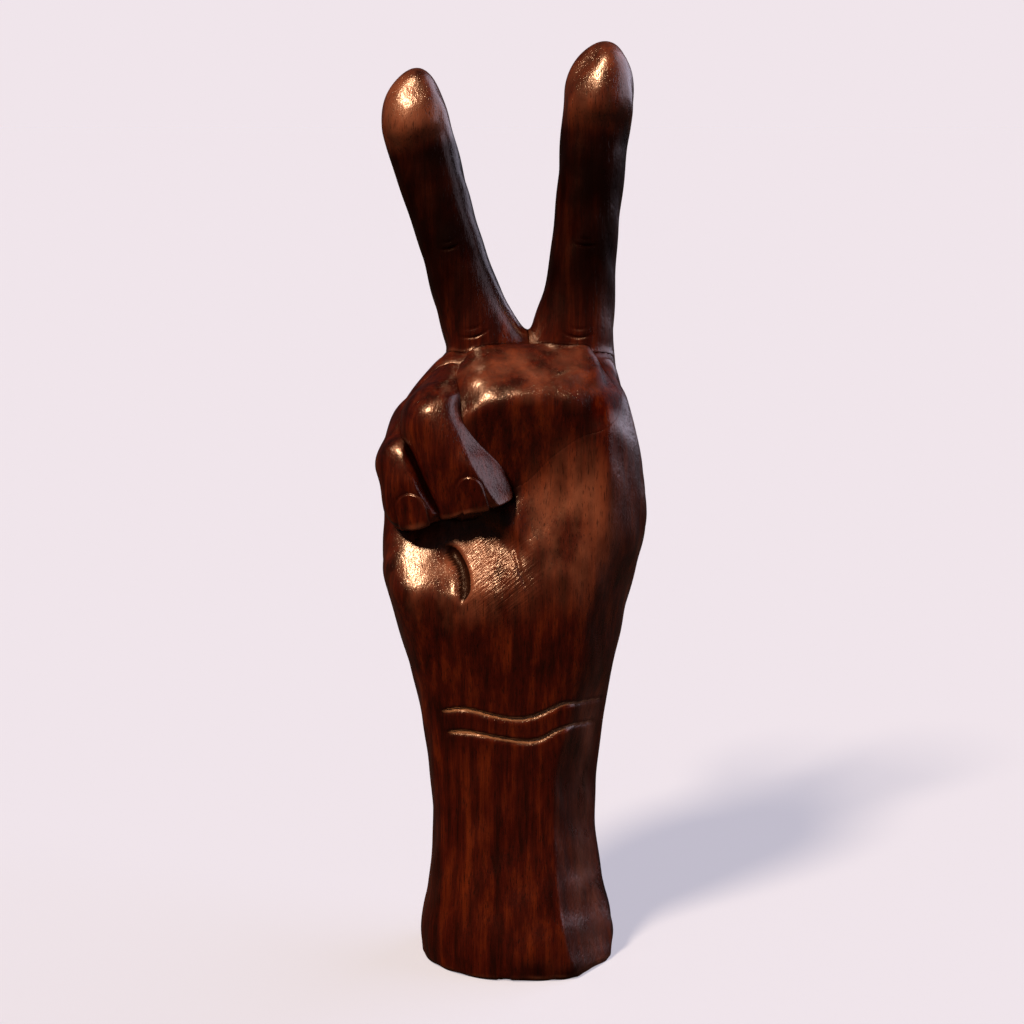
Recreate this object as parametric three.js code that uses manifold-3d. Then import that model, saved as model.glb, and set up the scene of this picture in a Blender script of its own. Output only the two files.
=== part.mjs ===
// A carved wooden hand that stands on its forearm and gives the V sign.
// Millimetres, +Z up. The foot stands on z = 0, the palm faces -Y and the thumb side is +X.
// Each mesh is one form of the carving: the forearm with the palm, the thumb and the four fingers.

import * as THREE from 'three';
import { mergeVertices } from 'three/addons/utils/BufferGeometryUtils.js';
import Module from 'manifold-3d';

const wasm = await Module();
wasm.setup();

// Driving dimensions

// Saw-thin gap that parts each form from the next one.
const SEAM_GAP = 0.3;

// Length of the forearm from the foot to the heel of the hand, and of the palm from there to its top.
const FOREARM_LENGTH = 92;
const PALM_LENGTH = 77;
const PALM_TOP = FOREARM_LENGTH + PALM_LENGTH;

// Rounding of the foot's lower edge, and height of the dome that closes the palm at the top.
const FOOT_ROUNDING = 1.5;
const PALM_DOME = 6;

// Sections of the forearm, placed along its length from 0 at the foot to 1 at the heel of the hand.
// Each section gives how far the wood reaches from the middle: to the left, to the right, to the palm
// side at the little finger and at the thumb, to the back of the hand, and to the chisel's flat.
const FOREARM_SECTIONS = [
  { along: 0.000, left: 26.6, right: 26.6, littleSide: 21.8, thumbSide: 21.8, back: 19.5, flat: 24.8 },
  { along: 0.087, left: 27.0, right: 26.8, littleSide: 22.0, thumbSide: 22.0, back: 20.0, flat: 23.6 },
  { along: 0.217, left: 24.9, right: 24.3, littleSide: 20.3, thumbSide: 20.3, back: 18.6, flat: 20.8 },
  { along: 0.413, left: 23.3, right: 21.8, littleSide: 17.8, thumbSide: 17.8, back: 17.0, flat: 18.6 },
  { along: 0.609, left: 24.4, right: 22.4, littleSide: 17.2, thumbSide: 17.2, back: 16.4, flat: 18.2 },
  { along: 0.815, left: 27.1, right: 24.6, littleSide: 18.4, thumbSide: 18.4, back: 16.5, flat: 21.9 },
];

// Sections of the palm, placed along its length from 0 at the heel of the hand to 1 at its top.
const PALM_SECTIONS = [
  { along: 0.000, left: 31.3, right: 27.9, littleSide: 20.6, thumbSide: 20.4, back: 17.2, flat: 26.4 },
  { along: 0.117, left: 33.6, right: 29.8, littleSide: 21.0, thumbSide: 21.4, back: 17.6, flat: 28.6 },
  { along: 0.195, left: 35.2, right: 31.2, littleSide: 20.6, thumbSide: 21.7, back: 17.8, flat: 30.0 },
  { along: 0.260, left: 36.2, right: 32.5, littleSide: 17.8, thumbSide: 21.8, back: 18.1, flat: 31.0 },
  { along: 0.338, left: 36.1, right: 34.1, littleSide: 14.2, thumbSide: 21.6, back: 18.4, flat: 31.9 },
  { along: 0.429, left: 35.8, right: 34.7, littleSide: 10.6, thumbSide: 21.2, back: 18.4, flat: 31.8 },
  { along: 0.571, left: 36.2, right: 33.8, littleSide: 9.0, thumbSide: 20.6, back: 18.0, flat: 31.2 },
  { along: 0.727, left: 34.4, right: 31.2, littleSide: 9.0, thumbSide: 20.0, back: 17.5, flat: 30.0 },
  { along: 0.831, left: 30.2, right: 28.8, littleSide: 8.4, thumbSide: 17.0, back: 16.9, flat: 28.6 },
  { along: 0.935, left: 24.0, right: 26.6, littleSide: 6.8, thumbSide: 10.0, back: 16.0, flat: 28.0 },
  { along: 1.000, left: 20.2, right: 25.9, littleSide: 5.4, thumbSide: 6.5, back: 15.1, flat: 28.0 },
];

// Squareness of the sections: 2 is an ellipse, and larger numbers fill the corners. The two corners of
// the palm side fill up along the body, from 0 at the foot to 1 at the top of the palm.
const CORNER_SECTIONS = [
  { along: 0.00, littleCorner: 1.9, thumbCorner: 2.3 },
  { along: 0.05, littleCorner: 2.0, thumbCorner: 2.35 },
  { along: 0.22, littleCorner: 3.0, thumbCorner: 3.0 },
  { along: 0.54, littleCorner: 3.1, thumbCorner: 3.1 },
  { along: 0.72, littleCorner: 3.1, thumbCorner: 4.3 },
  { along: 1.00, littleCorner: 3.1, thumbCorner: 4.3 },
];
const BACK_SQUARENESS = 2.6;
const FINGER_SQUARENESS = 2.2;
const TIP_SQUARENESS = 1.9;
const PALM_DOME_SQUARENESS = 3;

// Direction that the chisel's flat along the thumb side faces.
const FLAT_FACING = new THREE.Vector2(0.8, -0.6);

// The floor of the palm rises by this slope between two places across the hand, above the heel.
const PALM_SLOPE = 0.22;
const PALM_SLOPE_ACROSS = { start: -17, end: 0 };
const PALM_SLOPE_HEIGHT = { start: FOREARM_LENGTH + 8, end: FOREARM_LENGTH + 20 };

// Wall from the palm up to the ball of the thumb, and how far it moves to the left above the heel.
const WALL_ACROSS = { start: -3, end: 5 };
const WALL_SHIFT = 9;
const WALL_SHIFT_HEIGHT = { start: FOREARM_LENGTH + 26, end: FOREARM_LENGTH + 38 };

// The ball of the thumb falls by this slope from its outer edge to the wall, until the thumb covers it.
const BALL_SLOPE = 0.26;
const BALL_ACROSS = { start: -2, end: 24 };
const BALL_HEIGHT = { start: FOREARM_LENGTH + 8, end: FOREARM_LENGTH + 46 };
const BALL_RUN_OUT = { start: PALM_TOP - 23, end: PALM_TOP - 9 };

// Least depth of wood between the middle of the hand and the palm.
const LEAST_PALM_DEPTH = 3;

// Pad at the heel of the hand, below the little finger: how far it swells out, and its half sizes.
const HEEL_SWELL = 2.6;
const HEEL_REACH = { x: 14, z: 15 };
const HEEL_PLACE = { x: -25, z: FOREARM_LENGTH + 17 };

// Web of wood in the fork of the raised fingers.
const WEB_REACH = { x: 6, y: 7.5, z: 11 };
const WEB_CENTRE = new THREE.Vector3(2.2, 6, PALM_TOP - 5);

// Raised fingers. The root is where the finger's axis starts inside the palm, the lean is the turn of
// the axis towards the thumb side, and the dome is the length of the rounded tip, whose point may lie
// off the axis. Sections run along the finger from 0 at the root to 1 at the tip.
const INDEX_LENGTH = 100.4;
const INDEX_LEAN = THREE.MathUtils.degToRad(4.8);
const INDEX_ROOT = new THREE.Vector3(13.9, 6, PALM_TOP - 19);
const MIDDLE_LENGTH = 95.6;
const MIDDLE_LEAN = THREE.MathUtils.degToRad(-15.8);
const MIDDLE_ROOT = new THREE.Vector3(-4.6, 6, PALM_TOP - 18);
const TIP_DOME = 14;
const INDEX_TIP_OFFSET = 0;
const MIDDLE_TIP_OFFSET = 3;
const ROOT_DEPTH = 4;

const INDEX_SECTIONS = [
  { along: 0.000, left: 13.0, right: 9.5, front: 8.6, back: 9.0 },
  { along: 0.149, left: 12.4, right: 9.4, front: 8.5, back: 9.0 },
  { along: 0.259, left: 11.0, right: 9.2, front: 8.4, back: 8.8 },
  { along: 0.359, left: 9.2, right: 9.0, front: 8.3, back: 8.7 },
  { along: 0.478, left: 8.7, right: 8.7, front: 8.2, back: 8.6 },
  { along: 0.697, left: 8.7, right: 8.7, front: 7.9, back: 8.0 },
  { along: 0.792, left: 8.8, right: 8.8, front: 8.0, back: 7.5 },
  { along: 0.827, left: 8.9, right: 8.9, front: 9.4, back: 7.2 },
  { along: 0.876, left: 9.0, right: 9.0, front: 9.6, back: 7.0 },
  { along: 1.000, left: 9.0, right: 9.0, front: 9.0, back: 6.5 },
];

const MIDDLE_SECTIONS = [
  { along: 0.000, left: 8.6, right: 12.5, front: 8.6, back: 9.0 },
  { along: 0.157, left: 8.5, right: 11.5, front: 8.5, back: 9.0 },
  { along: 0.272, left: 8.5, right: 10.2, front: 8.4, back: 8.8 },
  { along: 0.377, left: 8.5, right: 8.9, front: 8.3, back: 8.7 },
  { along: 0.502, left: 8.2, right: 8.4, front: 8.2, back: 8.6 },
  { along: 0.690, left: 8.8, right: 8.5, front: 7.9, back: 8.0 },
  { along: 0.800, left: 9.2, right: 8.8, front: 8.0, back: 7.4 },
  { along: 0.837, left: 9.2, right: 8.9, front: 9.4, back: 7.1 },
  { along: 0.889, left: 9.1, right: 9.0, front: 9.6, back: 7.0 },
  { along: 1.000, left: 9.0, right: 9.0, front: 9.0, back: 6.5 },
];

// Thumb: a block that lies across the folded fingers, pared flat by the chisel all round. Its upper face
// and its front face meet in a ridge, whose edge is eased by a third cut.
const THUMB_BLOCK_SIZE = { x: 54, y: 26, z: 46 };
const THUMB_BLOCK_CENTRE = new THREE.Vector3(6, -12, PALM_TOP - 20);
const THUMB_RIDGE = new THREE.Vector3(4.5, -21.4, PALM_TOP - 8.1);
const THUMB_RIDGE_EASING = new THREE.Vector3(4.5, -20.15, PALM_TOP - 8.6);
const THUMB_CUTS = [
  { at: THUMB_RIDGE, facing: new THREE.Vector3(0.02, -0.52, 0.85) },
  { at: THUMB_RIDGE, facing: new THREE.Vector3(0.05, -0.965, -0.26) },
  { at: THUMB_RIDGE_EASING, facing: new THREE.Vector3(0.04, -0.93, 0.37) },
  { at: new THREE.Vector3(-16.6, -13, PALM_TOP - 8), facing: new THREE.Vector3(-0.95, -0.28, 0.1) },
  { at: new THREE.Vector3(-12.6, -8, PALM_TOP + 0.1), facing: new THREE.Vector3(-0.66, -0.2, 0.81) },
  { at: new THREE.Vector3(22.4, -7, PALM_TOP - 1.5), facing: new THREE.Vector3(0.77, -0.1, 0.625) },
  { at: new THREE.Vector3(27.2, -8, PALM_TOP - 11.5), facing: new THREE.Vector3(0.93, -0.22, 0.3) },
  { at: new THREE.Vector3(26.4, -12, PALM_TOP - 19), facing: new THREE.Vector3(0.8, -0.3, -0.52) },
  { at: new THREE.Vector3(27.6, -6, PALM_TOP - 12), facing: new THREE.Vector3(0.75, 0.6, 0.25) },
  { at: new THREE.Vector3(0, 0, PALM_TOP + 2.6), facing: new THREE.Vector3(0, 0.15, 1) },
];

// Folded fingers: each comes forward out of the palm, bends at its knuckle and points down again. The
// crown of the ring finger's base stands this far above the top of the palm.
const RING_BASE_RISE = 1.3;
const RING_BASE = { centre: new THREE.Vector3(-13, 3, PALM_TOP), radius: 10.3 };
RING_BASE.centre.z += RING_BASE_RISE - RING_BASE.radius;
const RING_KNUCKLE = { centre: new THREE.Vector3(-20.2, -11.2, PALM_TOP - 17.4), radius: 10.2 };
const RING_TIP = { centre: new THREE.Vector3(-12.3, -15.5, PALM_TOP - 32.2), radius: 9.7 };
const LITTLE_BASE = { centre: new THREE.Vector3(-24.2, 2, PALM_TOP - 20.5), radius: 8.2 };
const LITTLE_KNUCKLE = { centre: new THREE.Vector3(-29.2, -9.8, PALM_TOP - 28.2), radius: 8 };
const LITTLE_TIP = { centre: new THREE.Vector3(-26.4, -12.2, PALM_TOP - 37.6), radius: 9 };

// Chisel cuts on the folded fingers: a flat front for the nail, a flank towards the thumb, and the
// fingertips squared off below, both facing the same way.
const TIP_FACING = new THREE.Vector3(0.3, 0.05, -0.95);
const RING_CUTS = [
  { at: new THREE.Vector3(-14, -23.4, PALM_TOP - 28), facing: new THREE.Vector3(-0.22, -0.96, -0.12) },
  { at: new THREE.Vector3(-12.85, -22.3, PALM_TOP - 24), facing: new THREE.Vector3(0.58, -0.63, 0.55) },
  { at: new THREE.Vector3(-9.5, -18, PALM_TOP - 38.5), facing: TIP_FACING },
];
const LITTLE_CUTS = [
  { at: new THREE.Vector3(-27, -19.6, PALM_TOP - 35), facing: new THREE.Vector3(-0.28, -0.95, -0.12) },
  { at: new THREE.Vector3(-25.6, -18.5, PALM_TOP - 33.6), facing: new THREE.Vector3(0.62, -0.62, 0.41) },
  { at: new THREE.Vector3(-25.5, -16, PALM_TOP - 43.7), facing: TIP_FACING },
];

// Gloss of the worn varnish.
const VARNISH_ROUGHNESS = 0.38;

// Fineness of the facets. A dome's last ring lies at this share of its quarter turn.
const PALM_SIDES = 48;
const FINGER_SIDES = 22;
const PHALANX_SIDES = 20;
const ARC_STEPS = 5;
const FOOT_STEPS = 4;
const DOME_STEPS = 6;
const DOME_END = 0.96;
const PALM_RING_STEP = 5;
const FINGER_RING_STEP = 4.5;

// Solids and booleans

// Closed solid from a three.js geometry, with its shared corners merged and its flat triangles left out.
function solidFrom(geometry) {
  const bare = geometry.clone();
  bare.deleteAttribute('normal');
  bare.deleteAttribute('uv');
  const merged = mergeVertices(bare, 1e-4);
  const corners = merged.index.array;
  const kept = [];
  for (let i = 0; i < corners.length; i += 3) {
    const [a, b, c] = [corners[i], corners[i + 1], corners[i + 2]];
    if (a !== b && b !== c && c !== a) kept.push(a, b, c);
  }
  const mesh = new wasm.Mesh({
    numProp: 3,
    vertProperties: new Float32Array(merged.attributes.position.array),
    triVerts: new Uint32Array(kept),
  });
  return new wasm.Manifold(mesh);
}

// Geometry of a solid, moved so that the given point becomes its origin.
function geometryFrom(solid, origin) {
  const mesh = solid.getMesh();
  const geometry = new THREE.BufferGeometry();
  geometry.setAttribute('position', new THREE.BufferAttribute(new Float32Array(mesh.vertProperties), 3));
  geometry.setIndex(new THREE.BufferAttribute(new Uint32Array(mesh.triVerts), 1));
  geometry.translate(-origin.x, -origin.y, -origin.z);
  geometry.computeVertexNormals();
  return geometry;
}

// Lofts

// Cubic through the sections: each slope comes from the parabola through three neighbouring sections.
function valueAlong(sections, key, place) {
  const last = sections.length - 1;
  const slopeAt = (i) => {
    const before = Math.max(i - 1, 0);
    const after = Math.min(i + 1, last);
    if (before === i || after === i) {
      const run = sections[after].place - sections[before].place;
      return (sections[after][key] - sections[before][key]) / run;
    }
    const down = sections[i].place - sections[before].place;
    const up = sections[after].place - sections[i].place;
    const fall = (sections[i][key] - sections[before][key]) / down;
    const rise = (sections[after][key] - sections[i][key]) / up;
    return (fall * up + rise * down) / (up + down);
  };
  let i = 0;
  while (i < last - 1 && place > sections[i + 1].place) i += 1;
  const span = sections[i + 1].place - sections[i].place;
  const t = THREE.MathUtils.clamp((place - sections[i].place) / span, 0, 1);
  const startShare = 2 * t ** 3 - 3 * t ** 2 + 1;
  const startSlope = t ** 3 - 2 * t ** 2 + t;
  const endSlope = t ** 3 - t ** 2;
  return startShare * sections[i][key] + (1 - startShare) * sections[i + 1][key]
    + span * (startSlope * slopeAt(i) + endSlope * slopeAt(i + 1));
}

// Signed power of a sine or cosine, which turns a circle into a superellipse.
function rounded(value, squareness) {
  return Math.sign(value) * Math.abs(value) ** (2 / squareness);
}

// Height of a superellipse of reach 1 at a place from -1 to 1 along its base.
function archHeight(place, squareness) {
  return Math.max(1 - Math.abs(place) ** squareness, 0) ** (1 / squareness);
}

// Share from 0 to 1 of the way through a range, with a smooth start and end.
function shareOf(value, range) {
  return THREE.MathUtils.smoothstep(value, range.start, range.end);
}

// Heights of the rings from one end to the other, about one step apart.
function ringPlaces(start, end, step) {
  const count = Math.max(1, Math.round((end - start) / step));
  return Array.from({ length: count + 1 }, (_, i) => start + (end - start) * i / count);
}

// Closed skin over rings of equal length, with a fan of triangles over each end.
function loftSolid(rings) {
  const sides = rings[0].length;
  const points = rings.flat();
  const faces = [];
  for (let r = 0; r < rings.length - 1; r += 1) {
    for (let s = 0; s < sides; s += 1) {
      const next = (s + 1) % sides;
      const [a, b] = [r * sides + s, r * sides + next];
      const [c, d] = [a + sides, b + sides];
      faces.push(a, b, d, a, d, c);
    }
  }
  const endCentre = (ring) => ring.reduce((sum, p) => sum.add(p), new THREE.Vector3()).divideScalar(sides);
  const bottom = points.push(endCentre(rings[0])) - 1;
  const top = points.push(endCentre(rings[rings.length - 1])) - 1;
  const topStart = (rings.length - 1) * sides;
  for (let s = 0; s < sides; s += 1) {
    const next = (s + 1) % sides;
    faces.push(bottom, next, s, top, topStart + s, topStart + next);
  }
  const geometry = new THREE.BufferGeometry().setFromPoints(points);
  geometry.setIndex(faces);
  return solidFrom(geometry);
}

// Forearm and palm

const BODY_SECTIONS = [
  ...FOREARM_SECTIONS.map((s) => ({ ...s, place: s.along * FOREARM_LENGTH })),
  ...PALM_SECTIONS.map((s) => ({ ...s, place: FOREARM_LENGTH + s.along * PALM_LENGTH })),
];

const BODY_CORNERS = CORNER_SECTIONS.map((s) => ({ ...s, place: s.along * PALM_TOP }));

// Smooth hump that is 1 in its middle and runs out to 0 at a distance of 1.
function hump(distance) {
  return Math.max(1 - distance ** 2, 0) ** 2;
}

// How far the wood reaches to the palm side: the floor of the palm, the ball of the thumb with the wall
// between them, and the pad at the heel of the hand.
function palmDepth(x, height) {
  const ballSlope = BALL_SLOPE * shareOf(height, BALL_HEIGHT) * (1 - shareOf(height, BALL_RUN_OUT));
  const ballFall = BALL_ACROSS.end - THREE.MathUtils.clamp(x, BALL_ACROSS.start, BALL_ACROSS.end);
  const ball = valueAlong(BODY_SECTIONS, 'thumbSide', height) - ballSlope * ballFall;
  const floorSlope = PALM_SLOPE * shareOf(height, PALM_SLOPE_HEIGHT);
  const onSlope = THREE.MathUtils.clamp(x, PALM_SLOPE_ACROSS.start, PALM_SLOPE_ACROSS.end);
  const floorRise = onSlope - PALM_SLOPE_ACROSS.start;
  const floor = valueAlong(BODY_SECTIONS, 'littleSide', height) + floorSlope * floorRise;
  const shift = WALL_SHIFT * shareOf(height, WALL_SHIFT_HEIGHT);
  const wall = shareOf(x + shift, WALL_ACROSS);
  const pad = hump((x - HEEL_PLACE.x) / HEEL_REACH.x) * hump((height - HEEL_PLACE.z) / HEEL_REACH.z);
  return Math.max(THREE.MathUtils.lerp(floor, ball, wall) + HEEL_SWELL * pad, LEAST_PALM_DEPTH);
}

// Outline of the forearm and palm at one height: arches to the palm side and to the back, with all that
// stands beyond the chisel's flat moved back onto it.
function bodyOutline(height, grow) {
  const reach = (key) => valueAlong(BODY_SECTIONS, key, height) + grow;
  const [left, right, back, flat] = [reach('left'), reach('right'), reach('back'), reach('flat')];
  const littleCorner = valueAlong(BODY_CORNERS, 'littleCorner', height);
  const thumbCorner = valueAlong(BODY_CORNERS, 'thumbCorner', height);
  return Array.from({ length: PALM_SIDES }, (_, i) => {
    const across = Math.cos(2 * Math.PI * i / PALM_SIDES);
    const x = across * (across > 0 ? right : left);
    const isBack = i < PALM_SIDES / 2;
    const squareness = isBack ? BACK_SQUARENESS : (across > 0 ? thumbCorner : littleCorner);
    const depth = isBack ? back : -palmDepth(x, height) - grow;
    const point = new THREE.Vector2(x, depth * archHeight(across, squareness));
    const excess = Math.max(point.dot(FLAT_FACING) - flat, 0);
    return point.addScaledVector(FLAT_FACING, -excess);
  });
}

// The forearm and palm as one loft, with a rounded foot edge and a domed top.
function bodyLoft(grow) {
  const top = PALM_TOP + grow;
  const domeStart = PALM_TOP - PALM_DOME;
  const rings = [];
  const addRing = (height, inset, scale) => {
    const outline = bodyOutline(height, grow - inset);
    rings.push(outline.map((p) => new THREE.Vector3(p.x * scale, p.y * scale, height)));
  };
  for (const part of ringPlaces(0, 1, 1 / FOOT_STEPS).slice(0, -1)) {
    const angle = part * Math.PI / 2;
    addRing(FOOT_ROUNDING * (1 - Math.cos(angle)) - grow, FOOT_ROUNDING * (1 - Math.sin(angle)), 1);
  }
  for (const height of ringPlaces(FOOT_ROUNDING, domeStart, PALM_RING_STEP)) addRing(height, 0, 1);
  for (const part of ringPlaces(0, 1, 1 / DOME_STEPS).slice(1)) {
    const rise = Math.sin(part * Math.PI / 2 * DOME_END);
    addRing(domeStart + (top - domeStart) * rise, 0, archHeight(rise, PALM_DOME_SQUARENESS));
  }
  return loftSolid(rings);
}

// Ellipsoid with its half sizes grown by a clearance.
function ellipsoid(centre, reach, grow) {
  const ball = new THREE.SphereGeometry(1, PHALANX_SIDES, PHALANX_SIDES / 2);
  ball.rotateX(Math.PI / 2);
  ball.scale(reach.x + grow, reach.y + grow, reach.z + grow);
  ball.translate(centre.x, centre.y, centre.z);
  return solidFrom(ball);
}

function forearmAndPalm(grow) {
  return bodyLoft(grow).add(ellipsoid(WEB_CENTRE, WEB_REACH, grow));
}

// Raised fingers

// A straight finger lofted along its own axis, with a full pad in front and a domed tip.
function raisedFinger({ root, lean, length, sections, tipOffset }, grow) {
  const placed = sections.map((s) => ({ ...s, place: s.along * length }));
  const domeStart = length - TIP_DOME;
  const direction = new THREE.Vector3(Math.sin(lean), 0, Math.cos(lean));
  const across = new THREE.Vector3(Math.cos(lean), 0, -Math.sin(lean));
  const ring = (place, rise) => {
    const scale = archHeight(rise, TIP_SQUARENESS);
    const height = place + grow * rise;
    return Array.from({ length: FINGER_SIDES }, (_, i) => {
      const angle = 2 * Math.PI * i / FINGER_SIDES;
      const u = rounded(Math.cos(angle), FINGER_SQUARENESS);
      const w = rounded(Math.sin(angle), FINGER_SQUARENESS);
      const wide = valueAlong(placed, u > 0 ? 'right' : 'left', place) + grow;
      const deep = valueAlong(placed, w > 0 ? 'back' : 'front', place) + grow;
      return root.clone()
        .addScaledVector(direction, height)
        .addScaledVector(across, u * wide * scale + tipOffset * rise ** 2)
        .add(new THREE.Vector3(0, w * deep * scale, 0));
    });
  };
  const straight = ringPlaces(-ROOT_DEPTH - grow, domeStart, FINGER_RING_STEP).map((s) => ring(s, 0));
  const dome = ringPlaces(0, 1, 1 / DOME_STEPS).slice(1).map((part) => {
    const rise = Math.sin(part * Math.PI / 2 * DOME_END);
    return ring(domeStart + TIP_DOME * rise, rise);
  });
  return loftSolid([...straight, ...dome]);
}

function indexFinger(grow) {
  const finger = {
    root: INDEX_ROOT,
    lean: INDEX_LEAN,
    length: INDEX_LENGTH,
    sections: INDEX_SECTIONS,
    tipOffset: INDEX_TIP_OFFSET,
  };
  return raisedFinger(finger, grow);
}

function middleFinger(grow) {
  const finger = {
    root: MIDDLE_ROOT,
    lean: MIDDLE_LEAN,
    length: MIDDLE_LENGTH,
    sections: MIDDLE_SECTIONS,
    tipOffset: MIDDLE_TIP_OFFSET,
  };
  return raisedFinger(finger, grow);
}

// Folded fingers and thumb

// One finger bone: two balls and the cone that touches both, revolved about the line between them.
function phalanx(start, end, grow) {
  const axis = end.centre.clone().sub(start.centre);
  const length = axis.length();
  const [startRadius, endRadius] = [start.radius + grow, end.radius + grow];
  const touch = Math.asin((startRadius - endRadius) / length);
  const arc = (from, to, radius, height) => ringPlaces(0, 1, 1 / ARC_STEPS).map((part) => {
    const angle = THREE.MathUtils.lerp(from, to, part);
    return new THREE.Vector2(Math.max(radius * Math.cos(angle), 0), height + radius * Math.sin(angle));
  });
  const profile = [
    ...arc(-Math.PI / 2, touch, startRadius, 0),
    ...arc(touch, Math.PI / 2, endRadius, length),
  ];
  profile[0].x = 0;
  profile[profile.length - 1].x = 0;
  const bone = new THREE.LatheGeometry(profile, PHALANX_SIDES);
  const alongAxis = new THREE.Quaternion().setFromUnitVectors(new THREE.Vector3(0, 1, 0), axis.normalize());
  bone.applyQuaternion(alongAxis);
  bone.translate(start.centre.x, start.centre.y, start.centre.z);
  return solidFrom(bone);
}

// Block with one face through the given point, which takes away all that lies beyond that face.
function beyond(point, direction) {
  const size = PALM_LENGTH;
  const block = new THREE.BoxGeometry(size, size, size);
  block.translate(0, 0, size / 2);
  block.applyQuaternion(new THREE.Quaternion().setFromUnitVectors(new THREE.Vector3(0, 0, 1), direction));
  block.translate(point.x, point.y, point.z);
  return solidFrom(block);
}

// Solid after its chisel cuts, each moved outwards by the clearance.
function pared(solid, cuts, grow) {
  return cuts.reduce((rest, { at, facing }) => {
    const direction = facing.clone().normalize();
    return rest.subtract(beyond(at.clone().addScaledVector(direction, grow), direction));
  }, solid);
}

function thumb(grow) {
  const size = THUMB_BLOCK_SIZE;
  const block = new THREE.BoxGeometry(size.x + 2 * grow, size.y + 2 * grow, size.z + 2 * grow);
  block.translate(THUMB_BLOCK_CENTRE.x, THUMB_BLOCK_CENTRE.y, THUMB_BLOCK_CENTRE.z);
  return pared(solidFrom(block), THUMB_CUTS, grow);
}

function ringFinger(grow) {
  const bones = phalanx(RING_BASE, RING_KNUCKLE, grow).add(phalanx(RING_KNUCKLE, RING_TIP, grow));
  return pared(bones, RING_CUTS, grow);
}

function littleFinger(grow) {
  const bones = phalanx(LITTLE_BASE, LITTLE_KNUCKLE, grow).add(phalanx(LITTLE_KNUCKLE, LITTLE_TIP, grow));
  return pared(bones, LITTLE_CUTS, grow);
}

// Assembly

// Forms in the order in which they part from each other: each gives way to those before it.
const FORMS = [
  { name: 'forearm_and_palm', form: forearmAndPalm, origin: new THREE.Vector3(), colour: '#4a2216' },
  { name: 'thumb', form: thumb, origin: THUMB_RIDGE, colour: '#54281c' },
  { name: 'index_finger', form: indexFinger, origin: INDEX_ROOT, colour: '#3c1c14' },
  { name: 'middle_finger', form: middleFinger, origin: MIDDLE_ROOT, colour: '#40201a' },
  { name: 'ring_finger', form: ringFinger, origin: RING_KNUCKLE.centre, colour: '#4c261c' },
  { name: 'little_finger', form: littleFinger, origin: LITTLE_KNUCKLE.centre, colour: '#482418' },
];

const carvedHand = new THREE.Group();
carvedHand.name = 'carved_hand';

FORMS.forEach(({ name, form, origin, colour }, order) => {
  const earlier = FORMS.slice(0, order);
  const solid = earlier.reduce((rest, other) => rest.subtract(other.form(SEAM_GAP)), form(0));
  const varnishedWood = new THREE.MeshStandardMaterial({
    color: colour,
    roughness: VARNISH_ROUGHNESS,
    metalness: 0,
  });
  const mesh = new THREE.Mesh(geometryFrom(solid, origin), varnishedWood);
  mesh.name = name;
  mesh.position.copy(origin);
  carvedHand.add(mesh);
});

export default carvedHand;
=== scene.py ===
# %% [markdown]
# # A carved wooden hand
# The object is one block of dark-stained hardwood, carved as a hand that gives the V sign and finished with a
# satin varnish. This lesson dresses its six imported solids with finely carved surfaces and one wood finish.
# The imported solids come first, because every surface below has to sit where they sit.

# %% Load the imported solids
import math

import bpy
import numpy as np
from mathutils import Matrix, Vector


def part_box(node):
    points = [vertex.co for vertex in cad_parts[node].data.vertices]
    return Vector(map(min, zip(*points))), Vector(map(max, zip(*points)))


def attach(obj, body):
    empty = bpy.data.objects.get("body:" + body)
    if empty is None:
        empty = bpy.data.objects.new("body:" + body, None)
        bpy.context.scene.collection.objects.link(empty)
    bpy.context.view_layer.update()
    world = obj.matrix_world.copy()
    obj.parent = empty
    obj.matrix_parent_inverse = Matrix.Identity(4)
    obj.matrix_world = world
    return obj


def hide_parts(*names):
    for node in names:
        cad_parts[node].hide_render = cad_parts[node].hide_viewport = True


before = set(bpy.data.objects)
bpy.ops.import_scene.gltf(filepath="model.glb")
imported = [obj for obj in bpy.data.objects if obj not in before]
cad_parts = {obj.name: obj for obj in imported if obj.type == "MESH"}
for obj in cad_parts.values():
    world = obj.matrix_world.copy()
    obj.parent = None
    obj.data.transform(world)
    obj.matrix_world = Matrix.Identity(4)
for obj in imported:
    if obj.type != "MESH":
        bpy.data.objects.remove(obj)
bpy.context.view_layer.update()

MM = 0.001
print("solids:", sorted(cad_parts))

# %% [markdown]
# ## The camera
# The photograph was taken from a little above the knuckles, about half a metre away, with the camera tipped
# down by eleven degrees. The lens and the place below put the foot, the knuckles and both fingertips on their
# pixels. They were solved for from the outline's known points, which is quicker than trial and repeatable.

# %% Camera at the photograph's angle
PHOTO_SIDE = 1024
FOCAL_PIXELS = 1963.5
EYE = np.array([-1.4, -520.0, 230.0])
PITCH_DOWN = math.radians(11.313)
SENSOR = 36.0

camera = bpy.data.objects.new("camera", bpy.data.cameras.new("camera"))
camera.data.sensor_width = SENSOR
camera.data.lens = FOCAL_PIXELS / PHOTO_SIDE * SENSOR
camera.data.clip_start = 0.01
camera.location = EYE * MM
camera.rotation_euler = (math.pi / 2 - PITCH_DOWN, 0, 0)
bpy.context.scene.collection.objects.link(camera)
bpy.context.scene.camera = camera
bpy.context.scene.view_settings.view_transform = "Standard"
print("lens in mm:", round(camera.data.lens, 2))

# %% [markdown]
# ## Colours and nodes
# Colours are written as the hex values that a paint program shows. Blender works in linear light, so one
# function turns them. A second small function adds any shader node with its settings and its links.

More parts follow.
